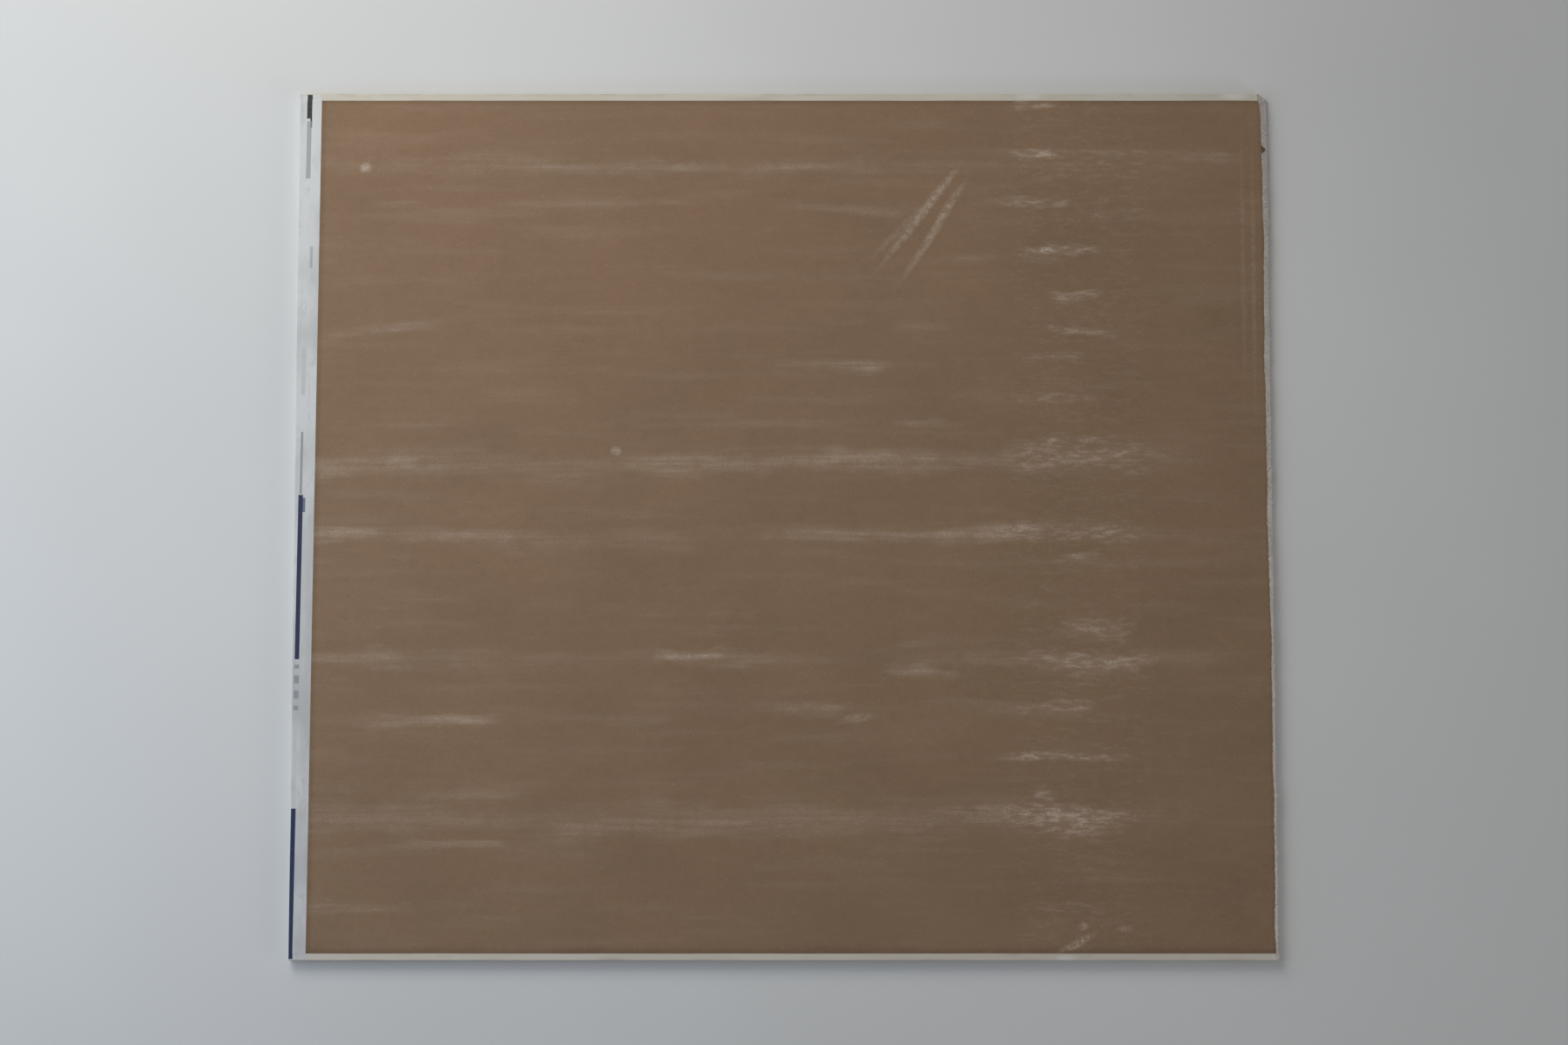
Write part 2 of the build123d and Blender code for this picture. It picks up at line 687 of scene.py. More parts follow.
@dataclass
class GypsumCore:
    """Gypsum core, whose snapped end is a rough slope with a knife's cut along its foot."""

    board: Board
    step: float = 0.8 * MM
    levels: int = 20
    arris_shares: tuple[float, ...] = (0.35, 0.65, 0.87)
    swell: float = 0.9 * MM
    swell_length: float = 70 * MM
    facet: float = 7 * MM
    ledge: float = 2.2 * MM
    chip: float = 3 * MM
    chip_depth: float = 0.9 * MM
    crumb: float = 3.2 * MM
    crumble: float = 0.45 * MM
    crushed_bit: float = 4 * MM
    crush: float = 0.9 * MM
    worn_back: float = 0.6 * MM
    shy: float = 0.1 * MM

    @property
    def rebate(self) -> float:
        """Distance from the middle of the board to the rebate under each flap."""
        return self.board.half_width - self.board.flap_lap

    def columns(self) -> list[float]:
        """Stations of the core's ends, closer at its rounded arrises.

        Returns:
            Y of each column.
        """
        board = self.board
        middle = stations(-self.rebate + self.shy, self.rebate - self.shy, self.step)
        flap = stations(self.rebate, board.arris_y, self.step)
        radius = board.edge_radius - board.face_paper
        arc = [board.arris_y + radius * share for share in self.arris_shares]
        return mirrored(middle, [*flap, *arc, board.half_width - board.face_paper])

    def top_z(self, y: float) -> float:
        """Top of the core: proud in the middle, and let down under each flap."""
        flapped = abs(y) > self.rebate - self.shy / 2
        return self.board.high_z(y, self.board.face_paper) if flapped else self.board.flap_top

    def fracture(self, y: float, z: float) -> float:
        """X of the broken end.

        Args:
            y: Distance from the middle of the board.
            z: Height over the floor.

        Returns:
            The smooth slope's X with the swells, ledges and crumbs of the fracture.
        """
        board = self.board
        share = board.depth_share(z)
        swell = self.swell * math.sin(math.pi * share) * (0.3 + grit(1.6, y / self.swell_length))
        ledges = self.ledge * facets(self.facet, y, z) + self.chip_depth * facets(self.chip, y, z)
        crumbs = grit(self.crumble, y / self.crumb, z / self.crumb, 3.1)
        rough = smooth(share, 0.0, 0.12) * (1 - 0.35 * smooth(share, 0.85, 1.0))
        rough *= 1 - 0.8 * smooth(share, 0.3, 0.5) * board.under_scrap(y, 0.9)
        crushed = smooth(y, board.half_width - 2 * board.knock_width, board.half_width)
        bits = abs(grit(1.3, y / self.crushed_bit, z / self.crushed_bit, 9.2))
        crushed *= self.crush * (0.5 + bits)
        x = board.end_x(y, z) + rough * (swell + ledges + crumbs - self.worn_back) - crushed
        return min(x, board.scored_end, board.knock_x(y))

    def build(self, finish: bpy.types.Material) -> None:
        """Build the core as one closed shell.

        Args:
            finish: Its material.
        """
        board, shell = self.board, Shell()
        broken, square = [], []
        for y in self.columns():
            low, high = board.low_z(y, board.face_paper), self.top_z(y)
            cut = low + board.score_depth
            heights = [low, *stations(cut, high, (high - cut) / (self.levels - 1))]
            broken.append(shell.row((self.fracture(y, z), y, z) for z in heights))
            square.append(shell.row((board.factory_end, y, z) for z in (low, high)))
        shell.bridge_rows(broken)
        shell.bridge_rows(square)
        shell.bridge([row[0] for row in broken], [row[0] for row in square])
        shell.bridge([row[-1] for row in broken], [row[-1] for row in square])
        for edge, end in ((broken[0], square[0]), (broken[-1], square[-1])):
            shell.faces.append((*edge, end[1], end[0]))
        shell.piece("gypsum_core_broken", "gypsum_core", "gypsum", finish)


@dataclass
class FacePaper:
    """Ivory face paper, wrapped round both long edges and lapped onto the back."""

    board: Board
    column_step: float = 24 * MM
    tail: float = 24 * MM
    tail_shares: tuple[float, ...] = (0.0, 0.35, 0.6, 0.8, 0.92, 1.0)
    flap_step: float = 1.5 * MM
    side_step: float = 1.6 * MM
    taper_step: float = 3 * MM
    flat_step: float = 25 * MM
    pushed_width: float = 8 * MM
    wave: float = 0.12 * MM
    wave_length: float = 50 * MM
    wave_height: float = 10 * MM
    tear: float = 0.35 * MM
    tear_size: float = 2.2 * MM

    def half_path(self, inset: float) -> list[Pair]:
        """Section of the paper's surface on the +Y side.

        Args:
            inset: How far under the outer surface it runs.

        Returns:
            Y and Z from the inner edge of the flap, round the long edge, to the flat face.
        """
        board = self.board
        flap = stations(board.half_width - board.flap_lap, board.arris_y, self.flap_step)
        side = stations(board.upper_arris_z, board.lower_arris_z, self.side_step)[1:-1]
        taper = stations(board.arris_y, board.half_width - board.taper_width, self.taper_step)
        return [
            *((y, board.flap_top - inset) for y in flap[:-1]),
            *board.edge_arc(inset, board.upper_arris_z, 1),
            *((board.half_width - inset, z) for z in side),
            *reversed(board.edge_arc(inset, board.lower_arris_z, -1)),
            *((y, board.taper_z(y) + inset) for y in taper[1:]),
        ]

    def path(self, inset: float) -> list[Pair]:
        """Whole section of one of the paper's surfaces.

        Args:
            inset: How far under the outer surface it runs.

        Returns:
            Y and Z from the flap at +Y to the flap at -Y.
        """
        near = self.half_path(inset)
        flat = stations(near[-1][0], -near[-1][0], self.flat_step)[1:-1]
        return [*near, *((y, inset) for y in flat), *((-y, z) for y, z in reversed(near))]

    def end_x(self, y: float, z: float) -> float:
        """End of the paper: cut clean along the face, and torn up the edge and flap.

        Args:
            y: Distance from the middle of the board.
            z: Height over the floor.

        Returns:
            X of the end.
        """
        torn = smooth(z, self.board.score_top, 3 * self.board.score_top)
        ragged = grit(self.tear, y / self.tear_size, z / self.tear_size, 5.5)
        x = self.board.end_x(y, z) + torn * (ragged - self.tear / 2)
        return min(x, self.board.scored_end)

    def columns(self, end: float) -> list[float]:
        """Stations of the paper from the factory end on, closer near its own end.

        Args:
            end: X of its own end.

        Returns:
            X of each column.
        """
        tail_start = self.board.scored_end - self.tail
        body = stations(self.board.factory_end, tail_start, self.column_step)[:-1]
        return [*body, *(between(tail_start, end, share) for share in self.tail_shares)]

    def pushed_y(self, x: float, y: float, z: float) -> float:
        """Move a place of the outer surface in a little, where it is near a long edge.

        Args:
            x: X of the place.
            y: Its Y.
            z: Its Z.

        Returns:
            Its new Y.
        """
        near = smooth(abs(y), self.board.half_width - self.pushed_width, self.board.half_width)
        waves = grit(0.9, x / self.wave_length, math.copysign(1, y), z / self.wave_height)
        return y - math.copysign(max(near * self.wave * (0.5 + waves), 0.0), y)

    def sheet(self, shell: Shell, inset: float) -> list[list[int]]:
        """Add the points of one surface of the paper to a shell.

        Args:
            shell: Shell of the piece.
            inset: How far under the outer surface it lies.

        Returns:
            Rows of the surface, which run along X.
        """
        rows = []
        for y, z in self.path(inset):
            columns = self.columns(self.end_x(y, z))
            moved = [y if inset else self.pushed_y(x, y, z) for x in columns]
            rows.append(shell.row((x, new_y, z) for x, new_y in zip(columns, moved)))
        return rows

    def build(self, finish: bpy.types.Material) -> None:
        """Build the paper as one closed shell.

        Args:
            finish: Its material.
        """
        shell = Shell()
        shell.close_sheets(self.sheet(shell, 0.0), self.sheet(shell, self.board.face_paper))
        shell.piece("face_paper_wrap", "face_paper", "ivory_paper", finish)


@dataclass
class BackPaper:
    """Brown back paper, torn along the snapped end, with a scrap bent down over the break."""

    board: Board
    body_step: float = 24 * MM
    rib_step: float = 12 * MM
    ribs_split: int = 8
    tail: float = 30 * MM
    tail_shares: tuple[float, ...] = (0.0, 0.3, 0.55, 0.75, 0.88, 0.96, 1.0)
    fringe_shares: tuple[float, ...] = (0.15, 0.35, 0.6, 0.82, 1.0)
    fringe: float = 0.6 * MM
    least_fringe: float = 0.1 * MM
    fibre: float = 1.6 * MM
    worn_share: float = 0.6
    ragged: float = 0.9 * MM
    bite: float = 7 * MM
    nick: float = 1.9 * MM
    edge_width: float = 14 * MM
    edge_wave: float = 0.4 * MM
    edge_wave_length: float = 110 * MM
    cockle: float = 0.045 * MM
    cockle_length: float = 90 * MM
    cockle_width: float = 50 * MM
    scrap_length: float = 8 * MM
    scrap_notch: float = 4 * MM
    bend: float = 1.2 * MM
    lift: float = 0.25 * MM
    curl: float = 1.3 * MM
    curl_start: float = 2 * MM

    def ribs(self) -> list[float]:
        """Stations of the torn end. Every one that ends a split runs on into the body.

        Returns:
            Y of each column.
        """
        half = self.board.back_half
        coarse = stations(-half, half, self.rib_step)
        fine = [
            between(a, b, i / self.ribs_split)
            for a, b in zip(coarse, coarse[1:])
            for i in range(self.ribs_split)
        ]
        return [*fine, half]

    def side_wave(self, x: float, y: float) -> float:
        """Y, moved a little where it is near a long edge, whose cut wavers."""
        near = smooth(abs(y), self.board.back_half - self.edge_width, self.board.back_half)
        return y + near * grit(self.edge_wave, x / self.edge_wave_length, math.copysign(4.0, y))

    def surface_z(self, x: float, y: float) -> float:
        """Height of the back paper, with the cockle of paper that has been damp."""
        return self.board.top + grit(self.cockle, x / self.cockle_length, y / self.cockle_width, 1.5)

    def torn_x(self, y: float) -> float:
        """X of the torn edge at the back."""
        wander = grit(self.ragged, y / self.bite) + grit(self.ragged / 2, y / self.nick, 4.4)
        return min(self.board.break_x(y) + wander, self.board.knock_x(y) - self.fringe)

    def fringe_length(self, y: float) -> float:
        """How far the torn fibres or the bent scrap hang past the edge.

        Args:
            y: Distance from the middle of the board.

        Returns:
            Their length.
        """
        fibres = self.fringe * (0.7 + grit(0.6, y / self.fibre, 8.8))
        scrap = self.scrap_length * (1 + grit(0.4, y / self.scrap_notch, 6.3))
        return max(fibres, self.least_fringe) + self.board.under_scrap(y, 0.3) * scrap

    def hanging(self, y: float, past: float, under: bool) -> Point:
        """A place of what hangs past the torn edge, which bends down along the slope.

        Args:
            y: Distance from the middle of the board.
            past: How far past the torn edge it is.
            under: Whether it is on the paper's underside.

        Returns:
            The place.
        """
        board = self.board
        shift = self.torn_x(y) - board.break_x(y)
        x, z, out_x, out_z = board.slope_point(y, past)
        bend = smooth(past, 0.0, self.bend)
        lift = self.lift * bend + self.curl * smooth(past, self.curl_start, self.scrap_length)
        thick = 0.0 if under else self.worn_share * (board.top - board.flap_top)
        level = board.flap_top if under else board.top
        sloped_x, sloped_z = x + (lift + thick) * out_x, z + (lift + thick) * out_z
        flat_x = board.break_x(y) + past
        x = between(flat_x, sloped_x, bend) + shift * (1 - bend)
        return x, y, between(level, sloped_z, bend)

    def sheet_rows(self, shell: Shell, under: bool) -> tuple[list[list[int]], list[list[int]]]:
        """Add one side of the paper to a shell.

        Args:
            shell: Shell of the piece.
            under: Whether it is the underside.

        Returns:
            Rows of the body, which run along X, and rows of the torn end.
        """
        board, body, end = self.board, [], []
        tail_start = board.scored_end - self.tail
        columns = stations(board.factory_end, tail_start, self.body_step)
        for i, y in enumerate(self.ribs()):
            tail = [between(tail_start, self.torn_x(y), share) for share in self.tail_shares]
            flat = [*columns[:-1], *tail] if i % self.ribs_split == 0 else tail
            heights = [board.flap_top if under else self.surface_z(x, y) for x in flat]
            points = [(x, self.side_wave(x, y), z) for x, z in zip(flat, heights)]
            length = self.fringe_length(y)
            hung = [self.hanging(y, length * share, under) for share in self.fringe_shares]
            row = shell.row([*points, *((x, self.side_wave(x, y), z) for x, _, z in hung)])
            cut = len(flat) - len(tail)
            if cut:
                body.append(row[: cut + 1])
            end.append(row[cut:])
        return body, end

    def build(self, finish: bpy.types.Material) -> None:
        """Build the paper as one closed shell.

        Args:
            finish: Its material.
        """
        shell = Shell()
        sides = [self.sheet_rows(shell, under) for under in (False, True)]
        for body, end in sides:
            shell.bridge_rows([row[:-1] for row in body])
            shell.bridge_rows(end)
            for i, (first, second) in enumerate(zip(body, body[1:])):
                split = end[i * self.ribs_split : (i + 1) * self.ribs_split + 1]
                joint = [row[0] for row in reversed(split)]
                shell.faces.append((first[-2], second[-2], *joint))
        (top_body, top_end), (low_body, low_end) = sides
        for side in (0, -1):
            shell.bridge(top_body[side], low_body[side])
            shell.bridge(top_end[side], low_end[side])
        shell.bridge([row[0] for row in top_body], [row[0] for row in low_body])
        shell.bridge([row[-1] for row in top_end], [row[-1] for row in low_end])
        shell.piece("back_paper_torn", "back_paper", "brown_paper", finish)


@dataclass
class EndTape:
    """White tape on the factory end: a skewed lap on the back, folded down over the end."""

    board: Board
    outer_x: float
    top: float
    foot: float
    half_length: float
    lap_wide: float = 31 * MM
    lap_narrow: float = 23.5 * MM
    step: float = 3 * MM
    edge_step: float = 0.8 * MM
    leg_step: float = 2.5 * MM
    lap_shares: tuple[float, ...] = (0.0, 0.03, 0.2, 0.4, 0.6, 0.8, 0.93)
    fold_steps: int = 4
    fold_radius: float = 0.35 * MM
    step_run: float = 1.6 * MM
    crinkle: float = 0.045 * MM
    crinkle_length: float = 20 * MM
    crinkle_width: float = 35 * MM
    ragged_foot: float = 0.3 * MM
    foot_notch: float = 9 * MM

    @classmethod
    def from_frame(cls, board: Board) -> "EndTape":
        """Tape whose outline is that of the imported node."""
        low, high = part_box("end_tape")
        return cls(board, outer_x=low.x, top=high.z, foot=low.z, half_length=high.y)

    @property
    def thickness(self) -> float:
        """Thickness of the tape, which its leg shows."""
        return self.board.factory_end - self.outer_x

    def lap_x(self, y: Value | float) -> Value | float:
        """X of the lap's inner edge, which runs skew to the end.

        Args:
            y: Distance from the middle of the board, as a number or a shader's value.

        Returns:
            X there, of the same kind.
        """
        middle = (self.lap_wide + self.lap_narrow) / 2
        skew = (self.lap_wide - self.lap_narrow) / (2 * self.board.half_width)
        return y * skew + (self.board.factory_end + middle)

    def level(self, y: float) -> float:
        """Height of the tape's upper surface, which steps down from the back paper."""
        off_paper = smooth(abs(y), self.board.back_half, self.board.back_half + self.step_run)
        return self.top - off_paper * (self.board.top - self.board.flap_top)

    def profile(self, y: float, inset: float) -> list[Point]:
        """Points of one surface of the tape across its width.

        Args:
            y: Distance from the middle of the board.
            inset: How far under the outer surface it is.

        Returns:
            Points from the lap's inner edge, over the fold, to the foot of the leg.
        """
        top = self.level(y) - inset
        outer = self.outer_x + inset
        radius = self.fold_radius - inset
        fold_x, fold_z = outer + radius, top - radius
        lap = [between(self.lap_x(y), fold_x, share) for share in self.lap_shares]
        flat = [(x, y, top - (self.wrinkle(x, y) if inset == 0.0 else 0.0)) for x in lap]
        fold = [
            (fold_x - radius * math.sin(turn), y, fold_z + radius * math.cos(turn))
            for turn in quarter_turn(self.fold_steps)
        ]
        foot = self.foot + grit(self.ragged_foot, y / self.foot_notch, 2.2)
        leg = stations(fold_z, foot, self.leg_step)[1:]
        return [*flat, *fold, *((outer, y, z) for z in leg)]

    def wrinkle(self, x: float, y: float) -> float:
        """How far the lap lies under its highest level, in fine ridges and cockles."""
        ridge = abs(grit(1.4, x / self.crinkle_length, y / self.crinkle_width, 6.1))
        return self.crinkle * min(ridge, 1.0)

    def build(self, finish: bpy.types.Material) -> None:
        """Build the tape as one closed shell.

        Args:
            finish: Its material.
        """
        shell = Shell()
        plain_half = self.board.back_half - self.step
        edge = stations(plain_half, self.half_length, self.edge_step)
        along = mirrored(stations(-plain_half, plain_half, self.step)[1:-1], edge)
        outer, inner = (
            [shell.row(self.profile(y, inset)) for y in along] for inset in (0.0, self.thickness)
        )
        shell.close_sheets(outer, inner)
        shell.piece("end_tape_folded", "end_tape", "white_tape", finish)


@dataclass(frozen=True)
class Rub:
    """Short soft mark on a surface, widest at its middle and faded out at both ends."""

    start: Pair
    end: Pair
    width: float
    strength: float

    def mask(self, shader: Shader) -> Value:
        """The mark's strength at each place of a shader.

        Args:
            shader: Shader whose place the mark is drawn on.

        Returns:
            The strength, full near the middle and 0 outside.
        """
        run = Vector(self.end) - Vector(self.start)
        middle = (Vector(self.end) + Vector(self.start)) / 2
        inputs = {"Vector": shader.place, "Location": (*middle, 0.0)}
        inputs["Rotation"] = (0.0, 0.0, math.atan2(run.y, run.x))
        inputs["Scale"] = (run.length / 2, self.width, 1.0)
        unit = shader.node("ShaderNodeMapping", inputs, vector_type="TEXTURE").outputs[0]
        out = shader.value("ShaderNodeVectorMath", {0: unit}, "Value", operation="LENGTH")
        return out.fade(1.0, 0.2, self.strength)


@dataclass(frozen=True)
class Streak:
    """Soft streak along the board, at a distance Y from its middle.

    Its course is where it grows stronger or weaker, as pairs of X and strength. It fades out at its
    reach in millimetres to either side, and its slope is how much Y it gains along X.
    """

    SPAN = 1.6
    GONE_SHARE = 1.15
    FULL_SHARE = 0.1

    y: float
    reach: float
    course: tuple[Pair, ...]
    slope: float = 0.0

    def curve(self) -> list[Pair]:
        """The streak's strength over its span, which runs from 0 to 1."""
        points = [(x / self.SPAN + 0.5, strength) for x, strength in self.course]
        return [(0.0, points[0][1]), *points, (1.0, points[-1][1])]

    def mask(self, shader: Shader, x_share: Value, y: Value, narrowed: Value) -> Value:
        """The streak's strength at each place.

        Args:
            shader: Shader of the surface.
            x_share: X as a share of the streak's span.
            y: Y, as the streaks wander.
            narrowed: How much narrower than its reach the streak is.

        Returns:
            The strength, 0 outside.
        """
        off = abs(y - self.y - shader.x * self.slope) if self.slope else abs(y - self.y)
        reach = self.reach * MM
        across = (off * narrowed).fade(reach * self.GONE_SHARE, reach * self.FULL_SHARE)
        return across * shader.value("ShaderNodeFloatCurve", {1: x_share}, curve=self.curve())


@dataclass(frozen=True)
class BrownPaper:
    """Fibrous brown paper with gypsum dust rubbed into it in streaks along the board."""

    reddish: Rgb = (0.2765, 0.1757, 0.1090)
    olive: Rgb = (0.2740, 0.1767, 0.1100)
    dust: Rgb = (0.62, 0.51, 0.42)
    dark_hair: Rgb = (0.15, 0.095, 0.06)
    light_hair: Rgb = (0.42, 0.31, 0.21)
    roughness: float = 0.82
    streaks: tuple[Streak, ...] = (
        Streak(0.598, 13, ((0.32, 0), (0.34, 0.26), (0.38, 0.22), (0.40, 0))),
        Streak(0.523, 12, (
            (0.28, 0), (0.33, 0.16), (0.36, 0.34), (0.38, 0.24), (0.41, 0.06), (0.60, 0.07), (0.68, 0),
        )),
        Streak(0.506, 20, (
            (-0.70, 0), (-0.60, 0.06), (-0.35, 0.07), (0.10, 0.05), (0.60, 0.05), (0.68, 0),
        )),
        Streak(0.504, 10, (
            (-0.38, 0), (-0.32, 0.07), (-0.25, 0.02), (-0.15, 0.09), (-0.08, 0), (0.03, 0.10), (0.16, 0),
        )),
        Streak(0.453, 11, ((-0.60, 0), (-0.55, 0.07), (-0.48, 0.02), (-0.16, 0.08), (-0.10, 0), (0.20, 0))),
        Streak(0.453, 11, ((0.22, 0), (0.29, 0.06), (0.33, 0.16), (0.38, 0.16), (0.42, 0.03), (0.50, 0))),
        Streak(0.449, 9, ((-0.03, 0), (0.03, 0.06), (0.10, 0.13), (0.16, 0.10), (0.20, 0)), slope=-0.08),
        Streak(0.437, 17, ((-0.56, 0), (-0.45, 0.05), (-0.30, 0), (0.40, 0), (0.46, 0.08), (0.55, 0))),
        Streak(0.386, 9, ((0.32, 0), (0.35, 0.14), (0.372, 0.42), (0.40, 0.24), (0.43, 0.22), (0.46, 0))),
        Streak(0.375, 14, ((0.21, 0), (0.27, 0.08), (0.32, 0), (0.35, 0.12), (0.38, 0.10), (0.40, 0))),
        Streak(0.346, 12, (
            (-0.68, 0), (-0.60, 0.12), (-0.54, 0.14), (-0.47, 0.03), (-0.40, 0),
        ), slope=0.13),
        Streak(0.321, 9, ((0.36, 0), (0.39, 0.22), (0.43, 0.24), (0.46, 0))),
        Streak(0.311, 10, ((0.35, 0), (0.385, 0.17), (0.42, 0.17), (0.46, 0.05), (0.50, 0)), slope=-0.1),
        Streak(0.278, 11, ((0.14, 0), (0.18, 0.08), (0.22, 0.06), (0.26, 0))),
        Streak(0.235, 9, ((0.30, 0), (0.36, 0.06), (0.39, 0.14), (0.43, 0))),
        Streak(0.222, 11, (
            (-0.05, 0), (0.02, 0.08), (0.06, 0.10), (0.09, 0.22), (0.125, 0.2), (0.15, 0.07), (0.30, 0),
        )),
        Streak(0.175, 10, ((0.20, 0), (0.27, 0.08), (0.31, 0.05), (0.37, 0.09), (0.43, 0.09), (0.47, 0))),
        Streak(0.138, 9, (
            (-0.60, 0), (-0.50, 0.06), (-0.40, 0), (0.02, 0.05), (0.12, 0), (0.19, 0.14), (0.28, 0),
        )),
        Streak(0.116, 9, ((0.35, 0), (0.378, 0.26), (0.40, 0.08), (0.43, 0.16), (0.47, 0))),
        Streak(0.098, 20, ((-0.68, 0), (-0.55, 0.05), (-0.20, 0), (0.35, 0.02), (0.45, 0.10), (0.66, 0))),
        Streak(0.084, 21, (
            (-0.76, 0.13), (-0.60, 0.17), (-0.47, 0.10), (-0.30, 0.08), (-0.15, 0.15), (0.00, 0.15),
            (0.10, 0.21), (0.20, 0.20), (0.29, 0.12), (0.40, 0.16), (0.50, 0.07), (0.64, 0),
        ), slope=0.01),
        Streak(-0.009, 13, ((0.28, 0), (0.34, 0.20), (0.38, 0.08), (0.44, 0.15), (0.50, 0))),
        Streak(-0.018, 16, (
            (-0.72, 0.10), (-0.63, 0.20), (-0.55, 0.19), (-0.43, 0.12), (-0.33, 0.05),
            (-0.10, 0.03), (0.00, 0.08), (0.10, 0.17), (0.16, 0.18), (0.30, 0.22),
            (0.36, 0.12), (0.45, 0.16), (0.52, 0.07), (0.68, 0),
        )),
        Streak(-0.029, 22, ((-0.50, 0), (-0.35, 0.06), (-0.15, 0.05), (0.00, 0))),
        Streak(-0.048, 8, ((-0.57, 0), (-0.53, 0.07), (-0.50, 0), (0.37, 0), (0.41, 0.22), (0.45, 0))),
        Streak(-0.108, 12, ((-0.57, 0), (-0.50, 0.06), (-0.42, 0))),
        Streak(-0.150, 20, ((0.37, 0), (0.42, 0.18), (0.46, 0.16), (0.50, 0))),
        Streak(-0.171, 9, ((0.145, 0), (0.18, 0.10), (0.23, 0))),
        Streak(-0.189, 13, ((-0.20, 0), (-0.16, 0.17), (-0.13, 0.17), (-0.10, 0.07), (-0.04, 0))),
        Streak(-0.192, 17, (
            (-0.76, 0.14), (-0.62, 0.17), (-0.50, 0.09), (-0.22, 0.03), (-0.15, 0.12), (-0.08, 0.17),
            (0.02, 0.08), (0.12, 0.02), (0.22, 0.10), (0.34, 0.10), (0.42, 0.16), (0.57, 0.08), (0.66, 0),
        )),
        Streak(-0.194, 9, ((0.13, 0), (0.17, 0.17), (0.22, 0.13), (0.28, 0)), slope=-0.08),
        Streak(-0.200, 27, ((0.33, 0), (0.39, 0.13), (0.46, 0.15), (0.53, 0))),
        Streak(-0.260, 11, (
            (-0.08, 0), (-0.02, 0.09), (0.06, 0.14), (0.10, 0.02), (0.28, 0.06), (0.40, 0.17), (0.45, 0),
        )),
        Streak(-0.276, 11, (
            (-0.70, 0), (-0.60, 0.14), (-0.50, 0.20), (-0.43, 0.24), (-0.39, 0.03),
            (-0.19, 0.07), (-0.12, 0),
        )),
        Streak(-0.329, 10, (
            (0.26, 0), (0.31, 0.14), (0.35, 0.30), (0.38, 0.18), (0.43, 0.30), (0.47, 0.08), (0.52, 0),
        )),
        Streak(-0.380, 14, ((-0.58, 0), (-0.45, 0.09), (-0.30, 0), (0.34, 0), (0.36, 0.22), (0.385, 0))),
        Streak(-0.405, 14, (
            (0.05, 0), (0.25, 0.10), (0.30, 0.22), (0.38, 0.25), (0.44, 0.22), (0.49, 0.06), (0.62, 0),
        )),
        Streak(-0.414, 36, ((-0.80, 0.05), (-0.20, 0.04), (0.20, 0.06), (0.50, 0.04), (0.70, 0))),
        Streak(-0.416, 24, (
            (-0.80, 0.05), (-0.50, 0.06), (-0.30, 0.02), (-0.10, 0.06), (0.12, 0.07), (0.30, 0),
        )),
        Streak(-0.426, 12, (
            (-0.34, 0), (-0.27, 0.08), (-0.12, 0.06), (0.05, 0), (0.32, 0), (0.40, 0.15), (0.48, 0),
        )),
        Streak(-0.448, 11, ((-0.57, 0), (-0.50, 0.11), (-0.42, 0.17), (-0.37, 0))),
        Streak(-0.538, 11, (
            (-0.72, 0.04), (-0.60, 0.14), (-0.53, 0.05), (-0.40, 0), (0.30, 0), (0.41, 0.08), (0.47, 0),
        )),
    )
    scrapes: tuple[Rub, ...] = (
        Rub((0.262, 0.524), (0.120, 0.340), 8 * MM, 0.30),
        Rub((0.258, 0.516), (0.190, 0.440), 8 * MM, 0.16),
        Rub((0.268, 0.502), (0.150, 0.316), 8 * MM, 0.27),
        Rub((0.262, 0.494), (0.204, 0.410), 7 * MM, 0.14),
        Rub((0.216, 0.468), (0.112, 0.360), 7 * MM, 0.13),
        Rub((0.070, -0.280), (0.135, -0.269), 9 * MM, 0.22),
        Rub((0.372, -0.603), (0.440, -0.569), 8 * MM, 0.40),
        Rub((0.405, -0.563), (0.424, -0.563), 8 * MM, 0.38),
        Rub((0.458, -0.567), (0.486, -0.567), 8 * MM, 0.20),
        Rub((-0.246, 0.102), (-0.226, 0.102), 9 * MM, 0.50),
        Rub((-0.603, 0.503), (-0.581, 0.503), 10 * MM, 0.46),
        Rub((0.662, 0.640), (0.662, 0.060), 5 * MM, 0.10),
        Rub((0.647, 0.620), (0.648, 0.120), 5 * MM, 0.09),
    )
    dusty_x: float = 415 * MM
    dusty_half: float = 150 * MM
    wander: float = 7 * MM
    edge_shade: Pair = (9 * MM, 2 * MM)
    foot_shade: Pair = (20 * MM, 4 * MM)
    # Painted shade along the torn edge at the break: where it starts and where it is full, in from the
    # break.
    break_shade_band: Pair = (5 * MM, 1 * MM)
    tape_shade: Pair = (10 * MM, 2 * MM)
    cockle_depth: float = 0.25 * MM
    grain_depth: float = 0.07 * MM
    pulp_depth: float = 0.10 * MM

